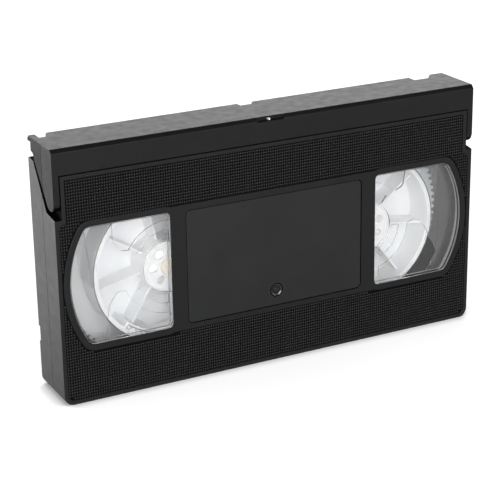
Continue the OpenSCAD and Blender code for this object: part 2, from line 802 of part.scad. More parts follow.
module pressure_pad() {
  color("#6e4b34")
    block([-post_x - 1.7, -5, tape_z + tape_t + 0.05], [-post_x + 1.7, 5, tape_z + 0.95]);
}

// Break-off tab in the spine, held by two thin bridges.
module erase_tab() {
  z1 = wall - 0.2;
  middle = (tab_y0 + tab_y1) / 2;
  color("#232426") {
    block([tab_x0 + gap, tab_y0 + gap, 0], [tab_x1 - gap, tab_y1 - gap, z1]);
    block([tab_x0, middle - 0.6, 0.4], [tab_x1, middle + 0.6, z1 - 0.4]);
  }
}

upper_shell();
lower_shell();
window_left();
window_right();
case_screws();
door();
door_spring();
door_lock();
door_lock_spring();
supply_reel();
supply_clear_flange();
supply_button();
supply_clamp();
supply_leader();
takeup_reel();
takeup_clear_flange();
takeup_button();
takeup_clamp();
takeup_leader();
reel_leaf_spring();
leaf_spring_rivets();
brake_lever_left();
brake_lever_right();
brake_spring_left();
brake_spring_right();
brake_release();
guide_roller_left();
guide_roller_right();
guide_pin_left();
guide_pin_right();
tape_post_left();
tape_post_right();
tape_span();
pressure_spring();
pressure_pad();
erase_tab();
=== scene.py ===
"""Dresses the video tape cassette: finishes, moulded detail, springs, camera, floor and light.

Every length inside the classes is in millimetres and becomes metres when a mesh is made.
X is the cassette's width, Y its thickness with the window face at -Y, Z its depth.
"""

from __future__ import annotations

import json
import logging
import math
from dataclasses import dataclass
from enum import Enum

import bmesh
import bpy
import numpy as np
from mathutils import Matrix, Vector

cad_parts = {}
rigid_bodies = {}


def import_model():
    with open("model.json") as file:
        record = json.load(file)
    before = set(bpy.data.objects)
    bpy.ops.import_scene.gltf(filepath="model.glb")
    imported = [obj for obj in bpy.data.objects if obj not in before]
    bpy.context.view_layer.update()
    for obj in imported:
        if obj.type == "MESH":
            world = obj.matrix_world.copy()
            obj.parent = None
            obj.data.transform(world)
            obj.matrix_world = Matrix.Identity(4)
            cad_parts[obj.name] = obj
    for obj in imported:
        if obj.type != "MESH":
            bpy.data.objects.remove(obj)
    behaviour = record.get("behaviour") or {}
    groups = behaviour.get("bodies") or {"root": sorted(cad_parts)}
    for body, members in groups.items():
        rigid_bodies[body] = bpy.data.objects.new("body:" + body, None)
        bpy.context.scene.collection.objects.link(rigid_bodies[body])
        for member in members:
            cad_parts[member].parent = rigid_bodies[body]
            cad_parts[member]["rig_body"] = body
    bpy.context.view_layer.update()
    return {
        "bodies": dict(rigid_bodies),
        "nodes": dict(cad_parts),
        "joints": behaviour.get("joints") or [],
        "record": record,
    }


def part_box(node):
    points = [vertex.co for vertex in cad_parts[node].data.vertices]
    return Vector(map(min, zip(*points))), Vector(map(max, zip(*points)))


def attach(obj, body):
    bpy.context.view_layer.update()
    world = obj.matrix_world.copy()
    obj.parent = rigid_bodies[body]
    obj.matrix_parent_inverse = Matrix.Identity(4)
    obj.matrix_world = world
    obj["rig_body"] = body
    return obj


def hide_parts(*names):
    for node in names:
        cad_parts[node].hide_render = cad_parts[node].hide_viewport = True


LOG = logging.getLogger("cassette")
MM = 0.001
OUTER_X = 94.0
END_SKIN = 0.4
WELD = 1e-7
CAD_WELD = 2e-6
ALONG = 0.9
ASLANT = 0.5

Pair = tuple[float, float]
Triple = tuple[float, float, float]
Piece = bpy.types.Object
Material = bpy.types.Material
Socket = bpy.types.NodeSocket


class Side(Enum):
    """Side of the cassette: the value is the sign of X."""

    LEFT = -1
    RIGHT = 1

    @property
    def word(self) -> str:
        """The side's name as the nodes spell it."""
        return self.name.lower()


class Grain(Enum):
    """Surface that a mould gives to plastic: size of the grain in mm and its depth in mm."""

    SPARK_ERODED = (0.16, 0.016)
    FINE = (0.09, 0.006)
    POLISHED = (0.5, 0.0015)

    @property
    def per_metre(self) -> float:
        """Noise scale for Object coordinates in metres."""
        return 1.0 / (self.value[0] * MM)

    @property
    def depth(self) -> float:
        """Depth in metres."""
        return self.value[1] * MM


class Tree:
    """Node tree, with short calls for the nodes that the finishes and the world share."""

    def __init__(self, tree: bpy.types.NodeTree) -> None:
        """Keeps the tree.

        Args:
            tree: The tree that the nodes go into.
        """
        self.tree = tree

    def node(self, kind: str, **settings: object) -> bpy.types.Node:
        """Adds a node.

        Args:
            kind: The node's type, less the ShaderNode that each type's name starts with.
            settings: Attributes to set on it.

        Returns:
            The new node.
        """
        made = self.tree.nodes.new(f"ShaderNode{kind}")
        for name, value in settings.items():
            setattr(made, name, value)
        return made

    def feed(self, target: Socket, value: object) -> None:
        """Links a socket to another one, or sets it to a plain value.

        Args:
            target: The socket that takes the value.
            value: A socket or a plain value.
        """
        if isinstance(value, Socket):
            self.tree.links.new(value, target)
        else:
            target.default_value = value

    def maths(self, operation: str, *terms: object) -> Socket:
        """Adds one step of arithmetic.

        Args:
            operation: The Math node's operation.
            terms: Sockets or numbers in the order of the node's inputs.

        Returns:
            The result's socket.
        """
        step = self.node("Math", operation=operation)
        for target, term in zip(step.inputs, terms):
            self.feed(target, term)
        return step.outputs["Value"]

    def either(self, path: bpy.types.Node, first: str, second: str) -> Socket:
        """Tells rays of two kinds from all others.

        Args:
            path: A Light Path node.
            first: One kind of ray.
            second: The other kind.

        Returns:
            Socket that is 1 for a ray of either kind.
        """
        kinds = (path.outputs[f"Is {kind} Ray"] for kind in (first, second))
        return self.maths("MAXIMUM", *kinds)

    def spread(
        self, source: Socket, low: float, high: float, start: float = 0.3, end: float = 0.7
    ) -> Socket:
        """Maps a value from start..end to low..high.

        Args:
            source: The value's socket.
            low: Result at start and before it.
            high: Result at end and beyond it.
            start: Value that gives low.
            end: Value that gives high.

        Returns:
            The mapped value's socket.
        """
        span = self.node("MapRange")
        names = ("Value", "From Min", "From Max", "To Min", "To Max")
        for name, value in zip(names, (source, start, end, low, high)):
            self.feed(span.inputs[name], value)
        return span.outputs["Result"]


class Graph(Tree):
    """Node tree of one material round its Principled shader."""

    def __init__(self, name: str) -> None:
        """Makes a material with a Principled shader.

        Args:
            name: The material's name.
        """
        self.material = bpy.data.materials.new(name)
        self.material.use_nodes = True
        super().__init__(self.material.node_tree)
        self.shader = self.tree.nodes["Principled BSDF"]
        self.coords = self.node("TexCoord").outputs["Object"]

    def plain(self, **values: object) -> None:
        """Feeds the Principled shader's own sockets.

        Args:
            values: A socket or plain value for each; underscores stand for spaces.
        """
        for name, value in values.items():
            self.feed(self.shader.inputs[name.replace("_", " ")], value)

    def noise(
        self, per_metre: float, detail: float = 2.0, stretch: Triple = (1.0, 1.0, 1.0)
    ) -> Socket:
        """Noise on Object coordinates.

        Args:
            per_metre: Number of lumps in a metre.
            detail: Octaves of finer noise.
            stretch: Factor on each axis, for a brushed or drawn surface.

        Returns:
            The noise value's socket.
        """
        mapping = self.node("Mapping")
        self.feed(mapping.inputs["Scale"], stretch)
        self.feed(mapping.inputs["Vector"], self.coords)
        texture = self.node("TexNoise")
        self.feed(texture.inputs["Scale"], per_metre)
        self.feed(texture.inputs["Detail"], detail)
        self.feed(texture.inputs["Vector"], mapping.outputs["Vector"])
        return texture.outputs["Fac"]

    def mottled(self, pattern: Socket, colour: Triple, low: float, high: float) -> Socket:
        """Colour that a pattern makes darker and lighter.

        Args:
            pattern: The noise value's socket.
            colour: The linear colour.
            low: Factor on the colour where the pattern is low.
            high: Factor where it is high; no part of the colour goes past 1.

        Returns:
            The colour's socket.
        """
        mix = self.node("Mix", data_type="RGBA")
        self.feed(mix.inputs["Factor"], self.spread(pattern, 0.0, 1.0))
        for name, factor in (("A", low), ("B", high)):
            shade = (min(1.0, part * factor) for part in colour)
            self.feed(mix.inputs[name], (*shade, 1.0))
        return mix.outputs["Result"]

    def bump(self, height: Socket, depth: float, strength: float = 1.0) -> None:
        """Raises the surface by a height value.

        Args:
            height: The height's socket, 0 to 1.
            depth: Height in metres at value 1.
            strength: Share of the effect.
        """
        relief = self.node("Bump")
        for name, value in (("Strength", strength), ("Distance", depth), ("Height", height)):
            self.feed(relief.inputs[name], value)
        self.plain(Normal=relief.outputs["Normal"])


@dataclass(frozen=True)
class MouldedPlastic:
    """Opaque moulded plastic with a grain, faint flow marks and uneven gloss."""

    name: str
    colour: Triple
    gloss: float
    grain: Grain
    level: float = 0.5
    uneven: float = 0.12
    glow: float = 0.0
    glow_reach: float = 2.5
    glow_parts: Triple = (1.0, 0.9, 0.8)
    gloss_swing: float = 0.05

    def material(self) -> Material:
        """Builds the material.

        Returns:
            The finished material.
        """
        graph = Graph(self.name)
        graph.plain(Specular_IOR_Level=self.level)
        if self.glow:
            graph.plain(
                Subsurface_Weight=self.glow,
                Subsurface_Scale=self.glow_reach * MM,
                Subsurface_Radius=self.glow_parts,
            )
        flow = graph.noise(per_metre=45.0, detail=3.0)
        marks = graph.noise(per_metre=260.0, detail=4.0)
        low, high = self.gloss - self.gloss_swing, self.gloss + self.gloss_swing
        graph.plain(
            Base_Color=graph.mottled(flow, self.colour, 1.0 - self.uneven, 1.0 + self.uneven),
            Roughness=graph.spread(marks, low, high),
        )
        graph.bump(graph.noise(self.grain.per_metre), self.grain.depth)
        return graph.material


@dataclass(frozen=True)
class ClearPlastic:
    """Clear moulded plastic or film, which bends what is behind it and lets lamps through."""

    name: str
    colour: Triple
    clear: float
    gloss: float
    passed: float
    index: float = 1.49
    waves: float = 0.004

    def material(self) -> Material:
        """Builds the material.

        Light from lamps and from lit surfaces goes straight through, dimmed evenly, so that
        what lies behind the plastic is lit; every other ray is bent and mirrored.

        Returns:
            The finished material.
        """
        graph = Graph(self.name)
        flow = graph.noise(per_metre=90.0, detail=3.0)
        scuffs = graph.noise(per_metre=400.0, detail=5.0)
        graph.plain(
            Transmission_Weight=self.clear,
            IOR=self.index,
            Base_Color=graph.mottled(flow, self.colour, low=0.97, high=1.02),
            Roughness=graph.spread(scuffs, self.gloss, self.gloss + 0.03),
        )
        graph.bump(graph.noise(per_metre=120.0), self.waves * MM, strength=0.3)
        straight = graph.either(graph.node("LightPath"), "Shadow", "Diffuse")
        opening = graph.node("BsdfTransparent")
        opening.inputs["Color"].default_value = (self.passed, self.passed, self.passed, 1.0)
        mix = graph.node("MixShader")
        parts = (straight, graph.shader.outputs["BSDF"], opening.outputs["BSDF"])
        for target, part in zip(mix.inputs, parts):
            graph.feed(target, part)
        surface = graph.tree.nodes["Material Output"].inputs["Surface"]
        graph.feed(surface, mix.outputs["Shader"])
        return graph.material


@dataclass(frozen=True)
class DrawnSteel:
    """Steel strip, wire or pin with fine lines along one axis."""

    name: str
    colour: Triple
    gloss: float
    along: Triple
    lines_deep: float = 0.002

    def material(self) -> Material:
        """Builds the material.

        Returns:
            The finished material.
        """
        graph = Graph(self.name)
        lines = graph.noise(per_metre=9000.0, detail=3.0, stretch=self.along)
        graph.plain(
            Metallic=1.0,
            Base_Color=graph.mottled(lines, self.colour, low=0.88, high=1.06),
            Roughness=graph.spread(lines, self.gloss - 0.06, self.gloss + 0.08),
        )
        graph.bump(lines, self.lines_deep * MM, strength=0.6)
        return graph.material


@dataclass(frozen=True)
class Felt:
    """Pressed felt: matt, mottled, with a soft sheen of fibres."""

    name: str
    colour: Triple
    fibres_deep: float = 0.12

    def material(self) -> Material:
        """Builds the material.

        Returns:
            The finished material.
        """
        graph = Graph(self.name)
        fibres = graph.noise(per_metre=5200.0, detail=6.0, stretch=(1.0, 0.45, 1.0))
        graph.plain(
            Roughness=0.95,
            Specular_IOR_Level=0.15,
            Sheen_Weight=0.4,
            Base_Color=graph.mottled(fibres, self.colour, low=0.55, high=1.4),
        )
        graph.bump(fibres, self.fibres_deep * MM)
        return graph.material


class Finishes:
    """All the finishes of the cassette, each made once."""

    def __init__(self) -> None:
        """Builds every material."""
        coarse, fine, polished = Grain.SPARK_ERODED, Grain.FINE, Grain.POLISHED

        def plastic(*fields: object) -> Material:
            """Makes a moulded plastic.

            Args:
                fields: Its fields in order.

            Returns:
                The finished material.
            """
            return MouldedPlastic(*fields).material()

        def clear(*fields: object) -> Material:
            """Makes a clear plastic.

            Args:
                fields: Its fields in order.

            Returns:
                The finished material.
            """
            return ClearPlastic(*fields).material()

        def steel(*fields: object) -> Material:
            """Makes a drawn steel.

            Args:
                fields: Its fields in order.

            Returns:
                The finished material.
            """
            return DrawnSteel(*fields).material()

        self.case = plastic("case_black", (0.0066, 0.0068, 0.0073), 0.46, coarse, 0.38)
        self.lower_case = plastic("case_black_lower", (0.0062, 0.0064, 0.0069), 0.42, coarse, 0.7)
        # A copy of the case black with about twice its specular level, for the outer end walls: a
        # painted sheen that makes them brighter.
        self.case_side = plastic("case_side_black", (0.0066, 0.0068, 0.0073), 0.45, coarse, 0.79)
        # Deep black for the pockets round the ears, the door's inner rims, the step line on each
        # ear, the gate mark's groove and the label recess's corner bead: painted shade.
        self.gap = plastic("gap_black", (0.0012, 0.0012, 0.0014), 0.7, coarse, 0.05)
        self.mark = plastic("gate_mark_black", (0.011, 0.0114, 0.012), 0.24, polished, 1.0)
        # Darker, less specular copies of the black for the door's ear ends, the part behind the
        # step darkest: painted shade.
        self.ear = plastic("door_ear_black", (0.005, 0.0052, 0.0057), 0.46, fine, 0.2)
        self.ear_back = plastic("door_ear_back_black", (0.004, 0.0042, 0.0046), 0.48, fine, 0.13)
        # A darker, almost unglossy copy of the case black for the ground between the grip pips:
        # painted shade.
        self.grip_ground = plastic("grip_field_black", (0.0018, 0.0019, 0.0021), 0.6, coarse, 0.08)
        self.grip_pip = plastic("grip_pip_black", (0.0036, 0.0037, 0.0041), 0.32, fine, 0.3)
        self.label_floor = plastic("label_recess_black", (0.0128, 0.0132, 0.014), 0.44, fine, 0.43)
        self.door = plastic("door_black", (0.004, 0.0042, 0.0047), 0.42, fine, 0.41)
        self.lock = plastic("lock_black", (0.012, 0.0124, 0.013), 0.45, fine)
        self.gate_pin = plastic("gate_pin_pale", (0.62, 0.63, 0.64), 0.35, fine)
        self.reel = plastic("reel_white", (0.9, 0.905, 0.912), 0.34, fine, 0.5, 0.02, 0.6)
        self.clamp = plastic("clamp_white", (0.9, 0.905, 0.91), 0.32, fine, 0.5, 0.02, 0.2)
        self.button = plastic("button_cream", (0.8, 0.72, 0.62), 0.38, polished, 0.5, 0.03, 0.2)
        self.brake = plastic("brake_grey_white", (0.68, 0.69, 0.7), 0.4, fine, 0.5, 0.03, 0.15)
        self.roller = plastic("roller_white", (0.82, 0.82, 0.81), 0.3, polished, 0.5, 0.02, 0.2)
        self.window = clear("window_clear", (0.985, 0.988, 0.99), 0.99, 0.0, 0.98)
        # A milky, less clear copy for the cut walls of the panes and the flanges' outer rims: a
        # painted highlight that draws them as bright lines.
        self.clear_edge = clear("clear_edge", (0.62, 0.63, 0.64), 0.45, 0.15, 0.9)
        self.clear_flange = clear("flange_clear", (0.98, 0.983, 0.985), 0.985, 0.01, 0.98)
        # A dark, less clear copy for the walls of the flange's openings: painted shade that draws
        # them as dark outlines.
        self.flange_cut = clear("flange_clear_cut", (0.3, 0.31, 0.32), 0.8, 0.1, 0.9)
        self.film = clear("leader_film", (0.9, 0.92, 0.94), 0.95, 0.03, 0.95)
        self.spring = steel("spring_wire", (0.56, 0.57, 0.58), 0.28, (1.0, 1.0, 0.06))
        self.leaf = steel("spring_strip", (0.6, 0.61, 0.62), 0.3, (0.05, 1.0, 1.0))
        self.pin = steel("guide_steel", (0.66, 0.67, 0.68), 0.12, (1.0, 0.05, 1.0))
        self.screw = steel("screw_zinc", (0.52, 0.54, 0.56), 0.34, (1.0, 1.0, 1.0))
        self.felt = Felt("felt_brown", (0.16, 0.085, 0.045)).material()


def grid_faces(rows: int, columns: int, around: bool) -> np.ndarray:
    """Quads of a grid of points that are numbered row by row.

    Args:
        rows: Number of rows of points.
        columns: Number of points in a row.
        around: True if each row closes on itself.

    Returns:
        One row of four point numbers for each quad: (i, j), (i, j+1), (i+1, j+1), (i+1, j).
    """
    row, column = np.meshgrid(
        np.arange(rows - 1) * columns,
        np.arange(columns if around else columns - 1),
        indexing="ij",
    )
    after = (column + 1) % columns
    quads = [row + column, row + after, row + columns + after, row + columns + column]
    return np.stack(quads, axis=-1).reshape(-1, 4)


def lathe(profile: np.ndarray, centre: Pair, steps: int) -> np.ndarray:
    """Surface of revolution about an axis along Y.

    Point (i, j) lies at radius r_i and height y_i of the profile, turned by the angle
    a_j = 2 pi j / steps: x = cx + r_i cos a_j, z = cz + r_i sin a_j.

    Args:
        profile: Rows of (radius, y) in mm.
        centre: X and Z of the axis in mm.
        steps: Points in each circle.

    Returns:
        Points in mm, one row per profile point and angle.
    """
    angles = np.arange(steps) * (2.0 * np.pi / steps)
    radius, height = profile[:, :1], profile[:, 1:2]
    x, z = centre[0] + radius * np.cos(angles), centre[1] + radius * np.sin(angles)
    return np.stack([x, height + 0.0 * angles, z], axis=-1).reshape(-1, 3)


def tube(path: np.ndarray, axis: np.ndarray, radius: float, sides: int) -> np.ndarray:
    """Round wire along a path that winds about an axis.

    At each path point the tangent t is the difference of its neighbours, u is the part of
    the axis that is square to t, and v = t x u; the ring is p + radius (cos a u + sin a v).

    Args:
        path: Points of the centreline in mm, nowhere running along the axis.
        axis: Direction that the wire winds about.
        radius: The wire's radius in mm.
        sides: Points in each ring.

    Returns:
        Points in mm, one ring per path point.
    """
    tangent = np.gradient(path, axis=0)
    tangent /= np.linalg.norm(tangent, axis=1, keepdims=True)
    side = axis - tangent * (tangent @ axis)[:, None]
    side /= np.linalg.norm(side, axis=1, keepdims=True)
    other = np.cross(tangent, side)
    angles = (np.arange(sides) * (2.0 * np.pi / sides))[None, :, None]
    ring = np.cos(angles) * side[:, None, :] + np.sin(angles) * other[:, None, :]
    return (path[:, None, :] + radius * ring).reshape(-1, 3)


def rounded_end(radius: float, bend: float, steps: int) -> np.ndarray:
    """Profile of a pin's rounded end, from its axis out to its full radius.

    The bend is a quarter circle: r = radius - bend (1 - sin a), rise = bend (1 - cos a).

    Args:
        radius: The pin's radius in mm.
        bend: Radius of the rounded edge in mm.
        steps: Points on the bend.

    Returns:
        Rows of (radius, rise) in mm, the first on the axis.
    """
    turn = np.linspace(0.0, np.pi / 2.0, steps)
    arc = np.stack([radius - bend * (1.0 - np.sin(turn)), bend * (1.0 - np.cos(turn))], axis=-1)
    return np.concatenate([[[0.0, 0.0]], arc])


def make_mesh(name: str, points: np.ndarray, quads: np.ndarray) -> Piece:
    """Puts points and quads into a new mesh object.

    Args:
        name: The piece's name.
        points: Points in mm.
        quads: Rows of four point numbers.

    Returns:
        The new object, linked to the scene, at the origin.
    """
    mesh = bpy.data.meshes.new(name)
    mesh.vertices.add(len(points))
    mesh.vertices.foreach_set("co", (points * MM).astype(np.float32).ravel())
    mesh.loops.add(quads.size)
    mesh.loops.foreach_set("vertex_index", quads.astype(np.int32).ravel())
    mesh.polygons.add(len(quads))
    mesh.polygons.foreach_set("loop_start", np.arange(0, quads.size, 4, dtype=np.int32))
    mesh.update(calc_edges=True)
    mesh.validate()
    piece = bpy.data.objects.new(name, mesh)
    bpy.context.scene.collection.objects.link(piece)
    return piece


def close_up(piece: Piece, smooth: bool = True) -> None:
    """Merges doubled points, fills open ends and turns all faces outwards.

    Args:
        piece: The piece to close.
        smooth: True for smooth shading.
    """
    work = bmesh.new()
    work.from_mesh(piece.data)
    bmesh.ops.remove_doubles(work, verts=work.verts, dist=WELD)
    rims = [edge for edge in work.edges if len(edge.link_faces) == 1]
    if rims:
        bmesh.ops.holes_fill(work, edges=rims, sides=0)
    bmesh.ops.recalc_face_normals(work, faces=work.faces)
    work.to_mesh(piece.data)
    work.free()
    piece.data.polygons.foreach_set("use_smooth", [smooth] * len(piece.data.polygons))


@dataclass(frozen=True)
class TorsionSpring:
    """Wire coil about an axis along X or Y, with a straight leg at each end.

    The coil's centreline runs evenly along the axis while it turns by the angle a: beside
    the axis it is at c + lean reach cos a, and its z is cz + reach sin a.
    """

    node: str
    axis: int
    run: Pair
    centre: Pair
    reach: float
    half_turns: float
    leg_ends: Pair
    points: tuple[int, int, int]
    lean: float = 1.0
    wire_r: float = 0.25

    def path(self) -> np.ndarray:
        """Centreline of the wire.

        Returns:
            Points in mm: the first leg, the coil and the second leg.
        """
        turn = np.linspace(0.0, self.half_turns * np.pi, self.points[1])
        (start, end), (beside, up) = self.run, self.centre
        swing = self.lean * self.reach
        coil = np.stack(
            [
                start + (end - start) * turn / turn[-1],
                beside + swing * np.cos(turn),
                up + self.reach * np.sin(turn),
            ],
            axis=-1,
        )
        first = [start, beside + swing, self.leg_ends[0]]
        last = [end, beside - swing, self.leg_ends[1]]
        tail = np.linspace(first, coil[0], self.points[0])[:-1]
        arm = np.linspace(coil[-1], last, self.points[2])[1:]
        path = np.concatenate([tail, coil, arm])
        return path[:, [1, 0, 2]] if self.axis else path


@dataclass
class Workshop:
    """Makes pieces from CAD nodes and hands them to the frame."""

    frame: dict
    finishes: Finishes
    wire_sides: int = 10

    def dress(
        self, piece: Piece, material: Material, body: str, slot: str, *nodes: str
    ) -> Piece:
        """Gives a new piece its material and body, and hides the nodes that it stands for.

        Args:
            piece: The piece.
            material: Its finish.
            body: The body that carries it.
            slot: The record's material slot; not used.
            nodes: CAD nodes that it stands for.

        Returns:
            The same piece.
        """
        piece.data.materials.clear()
        piece.data.materials.append(material)
        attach(piece, body)
        if nodes:
            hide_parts(*nodes)
        LOG.info("%s rides on %s, %d faces", piece.name, body, len(piece.data.polygons))
        return piece

    def stand_in(self, piece: Piece, material: Material, slot: str, node: str) -> Piece:
        """Dresses a piece that stands for one node and rides on that node's body.

        Args:
            piece: The piece.
            material: Its finish.
            slot: The record's material slot.
            node: The CAD node.

        Returns:
            The same piece.
        """
        return self.dress(piece, material, self.frame["nodes"][node]["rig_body"], slot, node)

    def wire(self, spring: TorsionSpring) -> Piece:
        """Wound wire spring that stands for its node.

        Args:
            spring: The spring's sizes.

        Returns:
            The spring.
        """
        path, axis = spring.path(), np.eye(3)[spring.axis]
        points = tube(path, axis, spring.wire_r, self.wire_sides)
        faces = grid_faces(len(path), self.wire_sides, True)
        piece = make_mesh(f"{spring.node}_wire", points, faces)
        close_up(piece)
        return self.stand_in(piece, self.finishes.spring, "spring_steel", spring.node)

    def turned(
        self,
        name: str,
        profile: np.ndarray,
        centre: Pair,
        steps: int,
        smooth: bool = True,
    ) -> Piece:
        """Closed piece made on the lathe, still without a finish.

        Args:
            name: The piece's name.
            profile: Radius and y in mm from one end to the other.
            centre: X and Z of the axis in mm.
            steps: Points in each circle.
            smooth: True for smooth shading.

        Returns:
            The piece.
        """
        points = lathe(profile, centre, steps)
        piece = make_mesh(name, points, grid_faces(len(profile), steps, True))
        close_up(piece, smooth)
        return piece

    def faces(self, piece: Piece) -> tuple[np.ndarray, np.ndarray, np.ndarray]:
        """Reads where a piece's faces lie.

        Args:
            piece: The piece.

        Returns:
            Middles in mm, normals and areas in square mm, one row for each face.
        """
        sides = piece.data.polygons
        middle, normal = np.empty((2, len(sides) * 3), np.float32)
        area = np.empty(len(sides), np.float32)
        for name, values in (("center", middle), ("normal", normal), ("area", area)):
            sides.foreach_get(name, values)
        return middle.reshape(-1, 3) / MM, normal.reshape(-1, 3), area / MM**2

    def ends(self, piece: Piece) -> np.ndarray:
        """Finds the faces on the cassette's outer ends.

        Args:
            piece: The piece.

        Returns:
            True for each such face.
        """
        middle, normal, _ = self.faces(piece)
        return (np.abs(normal[:, 0]) > ALONG) & (np.abs(middle[:, 0]) > OUTER_X - END_SKIN)

    def score(self, piece: Piece, chosen: np.ndarray, depths: Pair) -> None:
        """Cuts flat faces at some depths without changing the shape, so that each part of
        them can take its own finish.

        Args:
            piece: The piece.
            chosen: True for each face that is cut.
            depths: The cuts' Y in mm.
        """
        work = bmesh.new()
        work.from_mesh(piece.data)
        work.faces.ensure_lookup_table()
        faces = [work.faces[i] for i in np.flatnonzero(chosen)]
        for depth in depths:
            geometry = {*faces}
            for face in faces:
                geometry.update(face.edges, face.verts)
            cut = bmesh.ops.bisect_plane(
                work,
                geom=list(geometry),
                plane_co=(0.0, depth * MM, 0.0),
                plane_no=(0.0, 1.0, 0.0),
            )
            faces = [part for part in cut["geom"] if isinstance(part, bmesh.types.BMFace)]
        work.to_mesh(piece.data)
        work.free()

    def paint(self, piece: Piece, finish: Material, chosen: np.ndarray) -> None:
        """Gives some faces of a piece another finish.

        Args:
            piece: The piece.
            finish: The finish of the chosen faces.
            chosen: True for each face that takes it.
        """
        mesh = piece.data
        index = np.zeros(len(mesh.polygons), np.int32)
        mesh.polygons.foreach_get("material_index", index)
        index[chosen] = len(mesh.materials)
        mesh.materials.append(finish)
        mesh.polygons.foreach_set("material_index", index)
        LOG.info("%s has %d faces in %s", piece.name, int(chosen.sum()), finish.name)

    def moulded(
        self,
        node: str,
        material: Material,
        slot: str,
        edge: float,
        segments: int = 2,
        slack: float = 0.0,
    ) -> Piece:
        """Copy of a node's mesh with its sharp edges rounded, standing for the node.

        Args:
            node: The CAD node.
            material: The finish.
            slot: The record's material slot.
            edge: Width of the rounded edge in mm.
            segments: Strips across the rounded edge.
            slack: How far in mm the skin is drawn in, so that clear plastic that lies on
            another piece keeps a hair's space from it.

        Returns:
            The new piece.
        """
        mesh = self.frame["nodes"][node].data.copy()
        mesh.name = f"{node}_moulded"
        piece = bpy.data.objects.new(mesh.name, mesh)
        bpy.context.scene.collection.objects.link(piece)
        flat, sharp = math.radians(0.3), math.radians(32.0)
        work = bmesh.new()
        work.from_mesh(mesh)
        bmesh.ops.remove_doubles(work, verts=work.verts, dist=CAD_WELD)
        bmesh.ops.dissolve_limit(work, angle_limit=flat, verts=work.verts, edges=work.edges)
        work.to_mesh(mesh)
        work.free()
        if "custom_normal" in mesh.attributes:
            mesh.attributes.remove(mesh.attributes["custom_normal"])
        mesh.polygons.foreach_set("use_smooth", [True] * len(mesh.polygons))
        mesh.update()
        if slack:
            drawn_in = piece.modifiers.new("drawn_in", "DISPLACE")
            drawn_in.strength = -slack * MM
            drawn_in.mid_level = 0.0
        rounded = piece.modifiers.new("rounded_edges", "BEVEL")
        rounded.width = edge * MM
        rounded.segments = segments
        rounded.limit_method = "ANGLE"
        rounded.angle_limit = sharp
        rounded.use_clamp_overlap = False
        rounded.harden_normals = True
        rounded.miter_outer = "MITER_SHARP"
        return self.stand_in(piece, material, slot, node)


